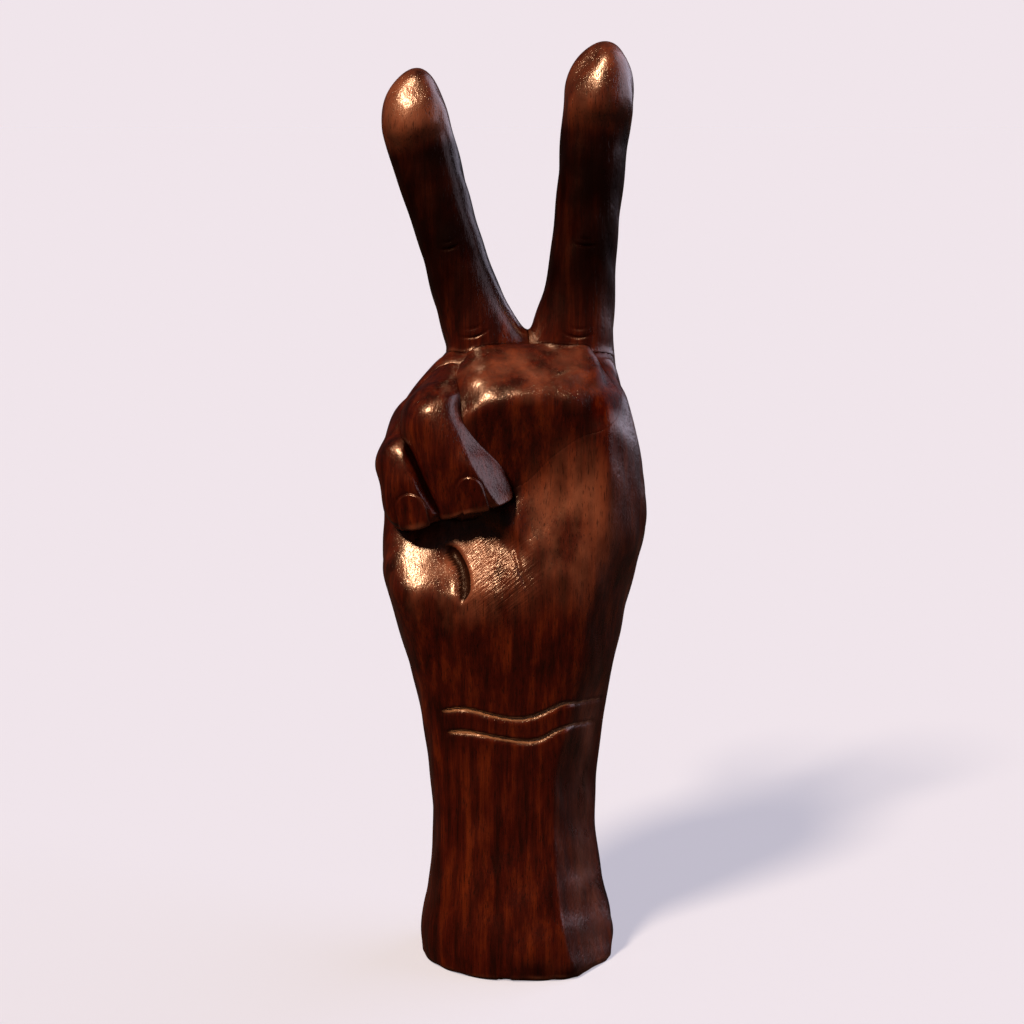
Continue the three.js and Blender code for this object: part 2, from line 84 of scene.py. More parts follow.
# %% Two helpers for materials
def linear(hex_colour):
    """An sRGB hex value as linear red, green, blue and alpha: a power of 2.4, but a line near black."""
    shown = np.array([int(hex_colour[i:i + 2], 16) for i in (1, 3, 5)]) / 255
    light = np.where(shown <= 0.04045, shown / 12.92, ((shown + 0.055) / 1.055) ** 2.4)
    return (*light.tolist(), 1.0)


def add(tree, kind, inputs=None, out=0, **settings):
    """Add one shader node, set its properties, fill or link its inputs, and give back one of its outputs."""
    node = tree.nodes.new("ShaderNode" + kind)
    for name, value in settings.items():
        setattr(node, name, value)
    for socket, value in (inputs or {}).items():
        if isinstance(value, bpy.types.NodeSocket):
            tree.links.new(value, node.inputs[socket])
        else:
            node.inputs[socket].default_value = value
    return node.outputs[out] if node.outputs else None


print("linear value of mid grey:", np.round(linear("#808080"), 3).tolist())

# %% [markdown]
# ## Floor and studio light
# A warm key light stands high at the front left. Its disc is ten degrees wide, so its shadow has a soft edge
# while its highlights on the varnish stay small. A weak cool window light comes from the right, from a disc
# of eighty degrees. Lamps close by would leave the far floor dark, so both are suns and light it evenly.

# %% Two soft lights
AMBIENT = 0.17
PALE = "#F0E5EB"
KEY = dict(towards=(-0.40, -0.52, 0.75), level=1.5, disc=10.0, colour="#FFD3AA")
WINDOW = dict(towards=(0.93, 0.25, 0.24), level=0.95, disc=80.0, colour="#D8D2EA")
DISC_STEPS = 60


def share_on_floor(away, disc):
    """Share of a wide sun's light that falls on the floor: the mean over all places on its disc of the height
    of the light's direction over its cosine to the disc's middle, with nothing from below the floor."""
    side = np.cross(away, (0, 0, 1)) / np.linalg.norm(away[:2])
    steps = np.arange(DISC_STEPS)
    turn, part = np.meshgrid(steps * math.pi / (DISC_STEPS / 2), (steps + 0.5) / DISC_STEPS)
    sine = math.sin(math.radians(disc / 2)) * np.sqrt(part)
    cosine = np.sqrt(1 - sine * sine)
    height = cosine * away[2] + sine * np.sin(turn) * np.cross(away, side)[2]
    return float((np.clip(height, 0, None) / cosine).mean())


floor_light = AMBIENT * np.array(linear(PALE)[:3])
for name, lamp in (("key_light", KEY), ("window_light", WINDOW)):
    sun = bpy.data.objects.new(name, bpy.data.lights.new(name, "SUN"))
    sun.data.energy = lamp["level"] * math.pi
    sun.data.angle = math.radians(lamp["disc"])
    sun.data.color = linear(lamp["colour"])[:3]
    away = np.array(lamp["towards"]) / np.linalg.norm(lamp["towards"])
    sun.rotation_euler = (math.acos(away[2]), 0, math.atan2(away[0], -away[1]))
    bpy.context.scene.collection.objects.link(sun)
    falls = lamp["level"] * share_on_floor(away, lamp["disc"])
    floor_light = floor_light + falls * np.array(linear(lamp["colour"])[:3])
    print(name, "height in degrees:", round(math.degrees(math.asin(away[2])), 1))

# %% [markdown]
# A plain pale floor runs out to a pale world. A floor of any colour would show a horizon where it meets that
# world, so its colour is worked out: the pale colour over the light that falls on the floor. The camera sees
# the pale floor and world, and so would clear glass and mirror-bright metal. Satin varnish and the hollows
# see a darker room, as the real carving did, or a milky veil would lie over the dark wood.

# %% Floor and world
FLOOR_SHOWN = (*(np.array(linear(PALE)[:3]) / floor_light).tolist(), 1.0)
FLOOR_BOUNCE = "#2A2523"
FLOOR_REACH = 60.0
SHADOW_SHARE = 0.5
ROOM_IN_VARNISH = 0.025


def seen_clearly(tree):
    """1 for camera rays, clear transmission and mirror-sharp reflections, 0 for every other ray."""
    kinds = ("Camera", "Glossy", "Singular", "Transmission")
    camera_ray, glossy, sharp, clear = (add(tree, "LightPath", out=f"Is {kind} Ray") for kind in kinds)
    mirrored = add(tree, "Math", {0: glossy, 1: sharp}, operation="MULTIPLY")
    either = add(tree, "Math", {0: mirrored, 1: clear}, operation="MAXIMUM")
    return add(tree, "Math", {0: camera_ray, 1: either}, operation="MAXIMUM")


floor_mesh = bpy.data.meshes.new("floor")
corners = np.array([(-1, -1, 0), (1, -1, 0), (1, 1, 0), (-1, 1, 0)]) * FLOOR_REACH
floor_mesh.from_pydata(corners.tolist(), [], [(0, 1, 2, 3)])
floor = bpy.data.objects.new("floor", floor_mesh)
bpy.context.scene.collection.objects.link(floor)

paper = bpy.data.materials.new("matt_paper")
paper.use_nodes = True
tree = paper.node_tree
tree.nodes.clear()
clearly = seen_clearly(tree)
shown = add(tree, "Mix", {0: clearly, 6: linear(FLOOR_BOUNCE), 7: FLOOR_SHOWN}, out=2, data_type="RGBA")
matt = add(tree, "BsdfDiffuse", {"Color": shown})
glow = add(tree, "Emission", {"Color": linear(PALE), "Strength": 1.0})
lift = add(tree, "Math", {0: clearly, 1: 1 - SHADOW_SHARE}, operation="MULTIPLY")
soft = add(tree, "MixShader", {0: lift, 1: matt, 2: glow})
add(tree, "OutputMaterial", {"Surface": soft})
floor_mesh.materials.append(paper)

world = bpy.data.worlds.new("pale_studio")
bpy.context.scene.world = world
world.use_nodes = True
tree = world.node_tree
tree.nodes.clear()
diffuse_ray = add(tree, "LightPath", out="Is Diffuse Ray")
room = add(tree, "Mix", {0: diffuse_ray, 2: ROOM_IN_VARNISH, 3: AMBIENT})
around = add(tree, "Mix", {0: seen_clearly(tree), 2: room, 3: 1.0})
sky = add(tree, "Background", {"Color": linear(PALE), "Strength": around})
add(tree, "OutputWorld", {"Surface": sky})
print("light on the floor:", np.round(floor_light, 2).tolist())
print("colour of the floor:", np.round(FLOOR_SHOWN, 2).tolist())

# %% [markdown]
# ## How the forms are written
# A carver leaves flat cuts, round lengths and soft fillets, and pares each form until it meets the next. A
# sculpted mesh could show that, but no one could read its sizes. Here each form is a function of the place:
# negative in the wood, positive outside, in millimetres. Paring with a plane is then a maximum, joining two
# forms is a minimum, and a fillet is a small term where two forms are equally near.

# %% Words of the form language
TINY = 1e-9


def ease(value, start, end):
    """0 up to start, 1 from end on, and a smooth S between them (three squares less two cubes)."""
    share = np.clip((value - start) / (end - start), 0.0, 1.0)
    return share * share * (3.0 - 2.0 * share)


def swell(distance):
    """A smooth hump, 1 in the middle and 0 from distance 1 on: one less the square, squared."""
    return np.clip(1.0 - distance * distance, 0.0, None) ** 2


def melt(first, second, width):
    """Fillet depth where two forms meet: a cube that is greatest where both are equally near."""
    close = np.clip(width - np.abs(first - second), 0.0, None) / width
    return close ** 3 * width / 6.0


def join(first, second, width):
    """Both forms as one, with a fillet of that width in the crease."""
    return np.minimum(first, second) - melt(first, second, width)


def pare(form, cut, width):
    """What is left of a form inside a cut, with an edge eased over that width."""
    return np.maximum(form, cut) + melt(form, cut, width)


def through(stations, values, place):
    """Smooth curves through values at stations: cubics whose end slopes are the values' own differences."""
    slopes = np.gradient(values, stations, axis=0)
    place = np.clip(place, stations[0], stations[-1])
    i = np.clip(np.searchsorted(stations, place) - 1, 0, len(stations) - 2)
    span = (stations[i + 1] - stations[i])[..., None]
    t = (place - stations[i])[..., None] / span
    rise = t * t * (3 - 2 * t)
    curve = values[i] + (values[i + 1] - values[i]) * rise
    bend = t * (1 - t) * span * ((1 - t) * slopes[i] - t * slopes[i + 1])
    return np.moveaxis(curve + bend, -1, 0)


def flat_cut(p, point, facing):
    """Height above a chisel cut: the distance from its plane along the way that it faces."""
    facing = np.array(facing, float)
    return (p - np.array(point)) @ (facing / np.linalg.norm(facing))


def pare_flat(form, p, cuts):
    """A form pared by flat cuts in turn. Each has a point, the way that it faces and its edge's width."""
    for point, facing, edge in cuts:
        form = pare(form, flat_cut(p, point, facing), edge)
    return form


def rounded_section(u, w, left, right, front, back, squareness):
    """Nearly the distance to a rounded rectangle that has its own reach to each side: the distance from its
    middle, times one less one over the place's share of that reach. A squareness of 2 gives an ellipse."""
    across = np.abs(u) / np.where(u > 0, right, left)
    deep = np.abs(w) / np.where(w > 0, back, front)
    share = (across ** squareness + deep ** squareness) ** (1 / squareness) + TINY
    return np.sqrt(u * u + w * w) * (1 - 1 / share)


def egg(p, centre, reach):
    """Nearly the distance to an ellipsoid: its radial share, times the share less one, over the slope."""
    q = (p - np.array(centre)) / np.array(reach)
    share = np.sqrt((q * q).sum(-1)) + TINY
    slope = np.sqrt(((q / np.array(reach)) ** 2).sum(-1)) + TINY
    return share * (share - 1) / slope


def bone(p, start, end, start_radius, end_radius):
    """Nearly the distance to a round length: from its middle line, less a radius that changes along it."""
    start = np.array(start, float)
    along = np.array(end, float) - start
    share = np.clip((p - start) @ along / (along @ along), 0, 1)
    away = np.sqrt(((p - start - share[..., None] * along) ** 2).sum(-1))
    return away - (start_radius + (end_radius - start_radius) * share)


print("hump at half its reach:", swell(np.array(0.5)))

# %% [markdown]
# ## Forearm and palm
# The largest form stands on a flared foot, narrows at the wrist and widens to the palm. It is a loft:
# at each height its section is a rounded rectangle whose reach to the left, right, front and back comes from
# a few stations. The front drops from the ball of the thumb to a hollow below the folded fingertips. A
# chisel flat runs up the right front edge.

# %% Form of the forearm and palm
# height, reach to the left, to the right, to the front at the little finger and at the thumb, to the back,
# and distance of the chisel flat from the middle line
ARM = np.array([
    [0, 26.6, 26.4, 21.8, 21.8, 19.5, 25.2],
    [8, 27.0, 26.8, 22.0, 22.0, 20.0, 23.6],
    [20, 24.9, 24.3, 20.3, 20.3, 18.6, 21.1],
    [38, 23.3, 21.8, 17.8, 17.8, 17.0, 18.6],
    [56, 24.4, 22.4, 17.2, 17.2, 16.4, 18.2],
    [75, 27.1, 24.6, 18.4, 18.4, 16.5, 21.9],
    [92, 31.3, 27.9, 20.6, 20.4, 17.2, 26.4],
    [101, 33.6, 29.8, 21.0, 21.4, 17.6, 27.6],
    [107, 35.2, 31.2, 20.6, 21.7, 17.8, 28.8],
    [112, 36.2, 32.5, 17.8, 21.8, 18.1, 30.0],
    [118, 36.1, 34.1, 14.2, 21.6, 18.4, 31.3],
    [125, 35.8, 34.7, 11.1, 21.2, 18.4, 32.0],
    [136, 36.2, 33.8, 9.0, 20.6, 18.0, 31.5],
    [148, 34.4, 31.2, 9.0, 20.0, 17.5, 30.1],
    [156, 30.2, 28.8, 8.4, 17.0, 16.9, 28.6],
    [164, 24.2, 26.6, 6.8, 10.0, 16.0, 28.0],
    [172, 16.8, 24.0, 4.5, 4.5, 14.5, 28.0],
], float)
# height, then squareness of the front corners at the little finger and at the thumb: 2 is an ellipse
CORNERS = np.array([
    [0, 2.0, 2.9],
    [8, 2.1, 2.9],
    [38, 3.0, 3.0],
    [92, 3.2, 3.1],
    [112, 3.9, 3.8],
    [126, 3.4, 4.3],
    [172, 3.1, 4.3],
])
BACK_SQUARENESS = 2.6
PALM_TOP = 169.0
PALM_TOP_EDGE = 5.0
FOOT_EDGE = 1.5
LEAST_REACH = 3.0
# the ball of the thumb: its slope, the places across where it slopes, the heights where that begins and ends
BALL = dict(slope=0.26, across=(-2, 24), begins=(108, 140), ends=(146, 160))
# the plane of the palm: its slope, the places across where it slopes, and its fillet to the wrist
PALM = dict(slope=0.27, across=(-17, 0), fillet=3.0)
# the wall between them: its places across, how far it moves to the left, and the heights where it moves
WALL = dict(across=(-3, 5), shift=9.0, moves=(118, 130))
# swellings at the heel of the hand and in the palm: place across, height, reach across and up, and rise
SWELLINGS = [(-32, 109, 15, 15, 1.7), (-1, 128, 5, 9, 1.2)]
# the chisel flat: the way that it faces, the width of its edge, and how much wider that is at the palm
CHISEL = dict(facing=(0.8, -0.6), edge=0.9, wider=5.5, widens=(62, 110))
# the web in the fork: its middle, its reach along x, y and z, and the fillet round it
WEB_MIDDLE = (1.7, 6.0, 163.0)
WEB_REACH = (3.6, 7.5, 10.0)
WEB_FILLET = 6.0


def palm_front(x, z, little_side, thumb_side):
    """Reach to the front: a sloping plane in the palm that the wrist's own surface cuts off, a wall from it to
    the ball of the thumb, which slopes too, and two low swellings on top."""
    slope = BALL["slope"] * ease(z, *BALL["begins"]) * (1 - ease(z, *BALL["ends"]))
    ball = thumb_side - slope * (BALL["across"][1] - np.clip(x, *BALL["across"]))
    plane = little_side + PALM["slope"] * (np.clip(x, *PALM["across"]) - PALM["across"][0])
    palm = join(plane, thumb_side, PALM["fillet"])
    start, end = (place - WALL["shift"] * ease(z, *WALL["moves"]) for place in WALL["across"])
    front = palm + (ball - palm) * ease(x, start, end)
    for middle_x, middle_z, reach_x, reach_z, rise in SWELLINGS:
        front = front + rise * swell((x - middle_x) / reach_x) * swell((z - middle_z) / reach_z)
    return np.maximum(front, LEAST_REACH)


def forearm_and_palm(p):
    """A loft of rounded rectangles, pared by the chisel flat, the top and the foot, with the web added."""
    x, y, z = p[..., 0], p[..., 1], p[..., 2]
    left, right, little_side, thumb_side, back, flat = through(ARM[:, 0], ARM[:, 1:], z)
    front = palm_front(x, z, little_side, thumb_side)
    little_corner, thumb_corner = through(CORNERS[:, 0], CORNERS[:, 1:], z)
    squareness = np.where(y > 0, BACK_SQUARENESS, np.where(x > 0, thumb_corner, little_corner))
    form = rounded_section(x, y, left, right, front, back, squareness)
    chisel = CHISEL["facing"][0] * x + CHISEL["facing"][1] * y - flat
    form = pare(form, chisel, CHISEL["edge"] + CHISEL["wider"] * ease(z, *CHISEL["widens"]))
    form = pare(form, z - PALM_TOP, PALM_TOP_EDGE)
    form = pare(form, -z, FOOT_EDGE)
    return join(form, egg(p, WEB_MIDDLE, WEB_REACH), WEB_FILLET)


print("stations on the forearm and palm:", len(ARM))

# %% [markdown]
# ## Thumb
# The thumb is bent across the palm: a broad lit face above, a darker face below, and a ridge between them
# where the knuckles lie. Tubes for its two lengths look like sausages, because a carver pares it with flat
# cuts. So it is a block within thirteen planes whose edges are eased more or less.

# %% Form of the thumb
# a point on each cut, the way that it faces, and the width over which its edge is eased
THUMB_UPPER_FACE = ((4.5, -12, 166.6), (0.02, -0.52, 0.85))
THUMB_CUTS = [
    ((4.5, -21.4, 161), (0.05, -0.965, -0.26), 8.0),
    ((-5.5, -20.1, 160.1), (-0.22, -0.82, 0.52), 2.0),
    ((-16.6, -13, 161), (-0.95, -0.28, 0.10), 9.0),
    ((-12.6, -8, 169.1), (-0.66, -0.20, 0.81), 6.0),
    ((22.4, -7, 167.5), (0.77, -0.10, 0.625), 2.5),
    ((17.0, -21.0, 158.5), (0.45, -0.76, 0.47), 5.0),
    ((25.0, -13.3, 150.0), (0.80, -0.60, -0.05), 6.0),
    ((25.4, -8, 157.5), (0.96, 0.02, 0.28), 6.0),
    ((27.6, -6, 157.0), (0.75, 0.60, 0.25), 3.0),
    ((0, 0, 171.6), (0, 0.15, 1), 3.0),
    ((0, 1, 150), (0, 1, 0), 3.0),
    ((0, 0, 126), (0, 0, -1), 6.0),
]


def thumb(p):
    """The space behind all the cuts: the upper face, pared by each other face in turn."""
    return pare_flat(flat_cut(p, *THUMB_UPPER_FACE), p, THUMB_CUTS)


print("cuts on the thumb:", len(THUMB_CUTS) + 1)

# %% [markdown]
# ## Raised fingers
# Index and middle finger are straight lengths that lean apart. Each is a loft along its own leaning line,
# with a section that is nearly an ellipse, a pad that stands proud below the tip, and a domed end that flat
# cuts have pared.

# %% Form of the two raised fingers
FINGER_SQUARENESS = 2.2
DOME = 14.0
DOME_SQUARENESS = 1.9
LEAST_SHRINK = 1e-4
TIP_EDGE = 1.0
ROOT_DEPTH = 4.0
# length along the finger, reach to the left, right, front and back
INDEX = np.array([
    [0, 14.6, 10.6, 8.6, 9.0],
    [15, 14.2, 10.5, 8.5, 9.0],
    [26, 11.9, 9.9, 8.4, 8.8],
    [36, 9.6, 9.2, 8.3, 8.7],
    [48, 8.7, 8.8, 8.2, 8.6],
    [70, 8.7, 8.9, 7.9, 8.0],
    [79.5, 8.8, 9.3, 8.0, 7.5],
    [83, 8.9, 9.5, 9.4, 7.2],
    [88, 9.0, 9.4, 9.6, 7.0],
    [100.4, 9.0, 9.0, 9.0, 6.5],
], float)
MIDDLE = np.array([
    [0, 8.6, 15.0, 8.6, 9.0],
    [15, 8.5, 14.6, 8.5, 9.0],
    [26, 8.5, 11.1, 8.4, 8.8],
    [36, 8.5, 9.2, 8.3, 8.7],
    [48, 8.2, 8.4, 8.2, 8.6],
    [66, 8.8, 8.5, 7.9, 8.0],
    [76.5, 9.2, 8.8, 8.0, 7.4],
    [80, 9.2, 8.9, 9.4, 7.1],
    [85, 9.1, 9.0, 9.6, 7.0],
    [94.8, 9.0, 9.0, 9.0, 6.5],
], float)
# the finger's root, its lean in degrees, the shift of its tip across, the share that hands rubbed off its tip,
# and a point on each flat cut there, the way that it faces, and the width over which its edge is eased
INDEX_LINE = dict(
    root=(13.9, 6.0, 150.0), lean=4.8, tip_shift=1.0, rubbed=0.4,
    facets=[
        ((19.4, -2.3, 240.0), (-0.48, -0.74, 0.47), 2.5),
        ((16.3, 2.0, 247.6), (-0.72, -0.10, 0.69), 0.8),
        ((28.6, 2.0, 245.4), (0.90, -0.10, 0.42), 0.8),
    ],
)
MIDDLE_LINE = dict(
    root=(-4.6, 6.0, 151.0), lean=-15.8, tip_shift=3.0, rubbed=0.8,
    facets=[((-28.2, -2.9, 232.0), (-0.17, -0.90, 0.40), 4.0)],
)
RAISED = {"index_finger": (INDEX_LINE, INDEX), "middle_finger": (MIDDLE_LINE, MIDDLE)}
# the station at the lower edge of the pad, counted from the tip
PAD_STATION = -4


def finger_places(p, line):
    """Places in a finger's own directions: along its leaning line, across it, and from front to back."""
    x, y, z = (p[..., k] - line["root"][k] for k in range(3))
    lean = math.radians(line["lean"])
    along = x * math.sin(lean) + z * math.cos(lean)
    across = x * math.cos(lean) - z * math.sin(lean)
    return along, across, y


def raised_finger(p, line, stations):
    """A loft of near ellipses along the finger, all of which shrink to a point over the domed end. Flat cuts
    pare its tip, and inside the palm it is cut off below its root."""
    along, across, deep = finger_places(p, line)
    length = stations[-1, 0]
    end = np.clip((along - (length - DOME)) / DOME, 0, 1)
    shrink = np.clip(1 - end ** DOME_SQUARENESS, LEAST_SHRINK, 1) ** (1 / DOME_SQUARENESS)
    left, right, front, back = through(stations[:, 0], stations[:, 1:], along)
    u = (across - line["tip_shift"] * end * end) / shrink
    w = deep / shrink
    form = rounded_section(u, w, left, right, front, back, FINGER_SQUARENESS) * shrink
    form = pare(form, along - length, TIP_EDGE)
    form = pare_flat(form, p, line["facets"])
    return np.maximum(form, -ROOT_DEPTH - along)


print("raised fingers in mm:", INDEX[-1, 0], MIDDLE[-1, 0])

# %% [markdown]
# ## Folded fingers
# Ring and little finger are bent down on the palm. Each is two round lengths that meet at the knuckle. The
# second one is pared flat at the front, along the flank towards the thumb, and below the tip.

# %% Form of the two folded fingers
TIP_FACING = (0.30, 0.05, -0.95)
KNUCKLE_FILLET = 3.0
# middle and radius of the root, the knuckle and the tip, and the flat cuts
RING = dict(
    root=(-13.0, 3.0, 160.0), knuckle=(-20.2, -11.2, 151.6), tip=(-11.3, -15.9, 132.5),
    radii=(10.3, 10.2, 10.4),
    cuts=[
        ((-14, -23.4, 141), (-0.22, -0.95, -0.22), 3.0),
        ((-12.6, -22.6, 145.2), (0.64, -0.66, 0.41), 0.9),
        ((-9.5, -18, 130.5), TIP_FACING, 0.8),
    ],
)
LITTLE = dict(
    root=(-25.4, -1.5, 149.8), knuckle=(-29.0, -9.8, 140.8), tip=(-26.4, -12.2, 131.4),
    radii=(8.4, 8.0, 9.0),
    cuts=[
        ((-27, -19.6, 134), (-0.28, -0.95, -0.12), 1.6),
        ((-25.2, -19.2, 135.4), (0.62, -0.62, 0.41), 0.8),
        ((-25.5, -16, 125.3), TIP_FACING, 0.8),
    ],
)


def folded_finger(p, finger):
    """Two bones that meet in the knuckle, joined by a fillet and pared by the finger's cuts."""
    inner = bone(p, finger["root"], finger["knuckle"], finger["radii"][0], finger["radii"][1])
    outer = bone(p, finger["knuckle"], finger["tip"], finger["radii"][1], finger["radii"][2])
    return pare_flat(join(inner, outer, KNUCKLE_FILLET), p, finger["cuts"])


print("radii of the folded fingers in mm:", RING["radii"], LITTLE["radii"])

# %% [markdown]
# ## One carving out of six forms
# The six forms meet in fillets: wide ones in the fork and at the finger roots, sharp ones in the creases of
# the fist. Each fillet is shared, so it is taken off every form on both of its sides. The least of the six is
# then the whole carving, and each form can be meshed alone: two surfaces cross just where the crease runs.

# %% Fillets between the forms
FORK_FILLET = 4.0
ROOT_FILLET = 4.0
CREASE_FILLET = 0.7
# the thumb's fillet: its least width, what is added below the upper face, and what is added there at its root
THUMB_FILLET = dict(least=0.8, below=3.6, at_root=9.6)
# places across, in front of the middle and up over which those two come in or fade
THUMB_ROOT_ACROSS = (17, 24)
THUMB_ROOT_FRONT = (3, 8)
THUMB_UPPER_EDGE = (158, 167)
PALM_MIDDLE = np.array([[0, 0, 130.0]])


def own_forms(p):
    """Each form less the fillets that it shares, in the order in which the forms are joined."""
    body, bent_thumb = forearm_and_palm(p), thumb(p)
    index, middle = raised_finger(p, INDEX_LINE, INDEX), raised_finger(p, MIDDLE_LINE, MIDDLE)
    ring, little = folded_finger(p, RING), folded_finger(p, LITTLE)
    fork = melt(index, middle, FORK_FILLET)
    raised = np.minimum(index, middle) - fork
    root = melt(body, raised, ROOT_FILLET)
    stem = np.minimum(body, raised) - root
    x, y, z = p[..., 0], p[..., 1], p[..., 2]
    at_root = ease(x, *THUMB_ROOT_ACROSS) * ease(-y, *THUMB_ROOT_FRONT)
    below = 1 - ease(z, *THUMB_UPPER_EDGE)
    added = (THUMB_FILLET["below"] + THUMB_FILLET["at_root"] * at_root) * below
    fold = melt(stem, bent_thumb, THUMB_FILLET["least"] + added)
    clasp = np.minimum(stem, bent_thumb) - fold
    nest = melt(clasp, ring, CREASE_FILLET)
    last = melt(np.minimum(clasp, ring) - nest, little, CREASE_FILLET)
    return {
        "forearm_and_palm": body - root - fold - nest - last,
        "thumb": bent_thumb - fold - nest - last,
        "index_finger": index - fork - root - fold - nest - last,
        "middle_finger": middle - fork - root - fold - nest - last,
        "ring_finger": ring - nest - last,
        "little_finger": little - last,
    }


distances = {name: round(float(form[0]), 1) for name, form in own_forms(PALM_MIDDLE).items()}
print("distance of each form from the palm's middle in mm:", distances)

# %% [markdown]
# ## Wrist lines and palm lines
# With a V-tool the carver cut two waving lines across the wrist, a crescent that parts the heel of the hand
# from the palm, and a fine line beside the ball of the thumb. Bump in the material would vanish at the
# outline and would not be in the mesh, so each cut is a depth in millimetres that is added to the form. The
# wrist lines, and a chip out of the foot's edge, go through the stain into bare wood.

# %% Cuts in the forearm and palm
# places across the wrist and heights of the upper and the lower line
WRIST_LINES = [
    np.array([
        [-21.2, 74.3], [-14.5, 76.0], [-7.2, 74.6], [-3.5, 73.8], [0.5, 73.5],
        [4.5, 74.2], [8.7, 76.1], [12.3, 77.6], [17, 77.0], [22, 75.8],
    ]),
    np.array([
        [-19.6, 68.5], [-15.5, 69.4], [-10.3, 69.1], [-3.5, 67.8], [0.5, 67.2],
        [3.8, 67.1], [6.8, 67.9], [9.9, 69.7], [13.6, 70.8], [20, 69.4],
    ]),
]
WRIST_DEPTH = 1.15
STEEP_WALL = 0.55
SLOPING_WALL = 1.35
# where a line fades in, counted from its first point, where it thins to a half, and how far it runs out
LINE_FADES_IN = (-1, 4)
LINE_THINS = (8, 18)
LINE_RUNS_OUT = 1.5
# the crescent's arc, its depth and widths, the angles in degrees between which it begins and ends, and the
# share of its widths that is left at both ends
CRESCENT = dict(centre=(-23.7, 110.2), radius=9.75, depth=2.3, wall=1.3, bed=0.9, lip=1.3,
                begins=(-36, -2), ends=(45, 76), slim=0.25)
# heights of the palm line and its places across, then the heights between which it begins and ends
PALM_LINE = np.array([[106, 4.2], [110, 2.4], [115, 0.5], [122, -0.8], [131, -0.6]])
PALM_LINE_BEGINS = (107, 112)
PALM_LINE_ENDS = (126, 131)
PALM_LINE_DEPTH = 0.4
PALM_LINE_HALF_WIDTH = 1.0
# middle and reach of each chip
CHIPS = [((-3.3, -21.2, 0.0), (2.4, 1.2, 1.0))]
CHIP_DEPTH = 0.8
# distances in front of the middle over which the cuts come in
CUT_FRONT = (1, 6)


def wrist_lines(x, z):
    """Two V grooves with a steep upper wall and a sloping lower wall. Each line fades in at the left, thins
    to a half at the right and runs out past its last point."""
    depth = np.zeros_like(x)
    for line in WRIST_LINES:
        first, last = line[0, 0], line[-1, 0]
        above = z - through(line[:, 0], line[:, 1:], x)[0]
        wall = np.where(above > 0, 1 - above / STEEP_WALL, 1 + above / SLOPING_WALL)
        begun = ease(x, first + LINE_FADES_IN[0], first + LINE_FADES_IN[1])
        kept = 1 - 0.5 * ease(x, *LINE_THINS) - 0.5 * ease(x, last, last + LINE_RUNS_OUT)
        depth = np.maximum(depth, WRIST_DEPTH * (begun * kept) * np.clip(wall, 0, 1))
    return depth


def crescent(x, z):
    """A groove along an arc of a circle: an inner wall, a flat bed and an outer lip. Its depth runs out and
    its widths slim down to both ends of the arc."""
    dx, dz = x - CRESCENT["centre"][0], z - CRESCENT["centre"][1]
    beyond = np.sqrt(dx * dx + dz * dz) - CRESCENT["radius"]
    turn = np.degrees(np.arctan2(dz, dx))
    arc = ease(turn, *CRESCENT["begins"]) * (1 - ease(turn, *CRESCENT["ends"]))
    slim = CRESCENT["slim"] + (1 - CRESCENT["slim"]) * arc
    bed, wall, lip = (slim * CRESCENT[key] for key in ("bed", "wall", "lip"))
    across = ease(beyond, -bed - wall, -bed) * (1 - ease(beyond, bed, bed + lip))
    return CRESCENT["depth"] * arc * across


def palm_line(x, z):
    """A narrow soft groove beside the ball of the thumb, which fades at both ends."""
    beside = x - through(PALM_LINE[:, 0], PALM_LINE[:, 1:], z)[0]
    groove = PALM_LINE_DEPTH * swell(beside / PALM_LINE_HALF_WIDTH)
    return groove * ease(z, *PALM_LINE_BEGINS) * (1 - ease(z, *PALM_LINE_ENDS))


def palm_cuts(p):
    """The crescent and the palm line, on the front only."""
    x, y, z = p[..., 0], p[..., 1], p[..., 2]
    return ease(-y, *CUT_FRONT) * (crescent(x, z) + palm_line(x, z))


def bare_cuts(p):
    """The wrist lines and the chips out of the foot's edge, which go through the stain into bare wood."""
    x, y, z = p[..., 0], p[..., 1], p[..., 2]
    chips = sum(np.clip(-egg(p, centre, reach), 0, CHIP_DEPTH) for centre, reach in CHIPS)
    return ease(-y, *CUT_FRONT) * wrist_lines(x, z) + chips


def body_cuts(p):
    """All cuts in the forearm and palm."""
    return palm_cuts(p) + bare_cuts(p)


print("cuts in the forearm and palm:", len(WRIST_LINES) + 2, "chips:", len(CHIPS))

# %% [markdown]
# ## Creases and nails of the fingers
# Short cuts mark the joints of the raised fingers, front and back, and each finger has a nail: a groove runs
# round an arch, so that the plate within it stands proud. On the folded fingers the nails face the viewer, on
# the raised ones the back.

# %% Cuts in the fingers
# place along a raised finger, half width and depth of each crease, and its side: -1 is the front, 1 the back
CREASES = [
    (24.2, 5.5, 0.4, -1), (26.4, 3.4, 0.22, -1), (48.2, 3.6, 0.4, -1), (50.0, 2.2, 0.18, -1),
    (46.5, 4.5, 0.45, 1), (48.6, 5.2, 0.5, 1), (50.7, 4.2, 0.4, 1), (71.5, 4.0, 0.4, 1), (73.2, 3.4, 0.3, 1),
]
CREASE_WALL = 0.6
# height of a crease's bow and its bend in radians for each millimetre across
CREASE_BOW = 0.6
CREASE_BEND = 0.5
RAISED_NAIL = dict(half_width=5.2, arch=5.0, from_tip=9.0)
NAIL_STEP = 0.5
NAIL_EDGE = 0.45
NAIL_HOLLOW = 1.6
# distances over which cuts come in: creases and nails off a raised finger's middle, nails of the folded ones
# in front of the hand's middle, and all nails along the way to the tip
CREASE_OFF = (1, 4)
NAIL_OFF = (0.5, 3)
NAIL_FRONT = (12, 16)
NAIL_ALONG = (-8, -6)
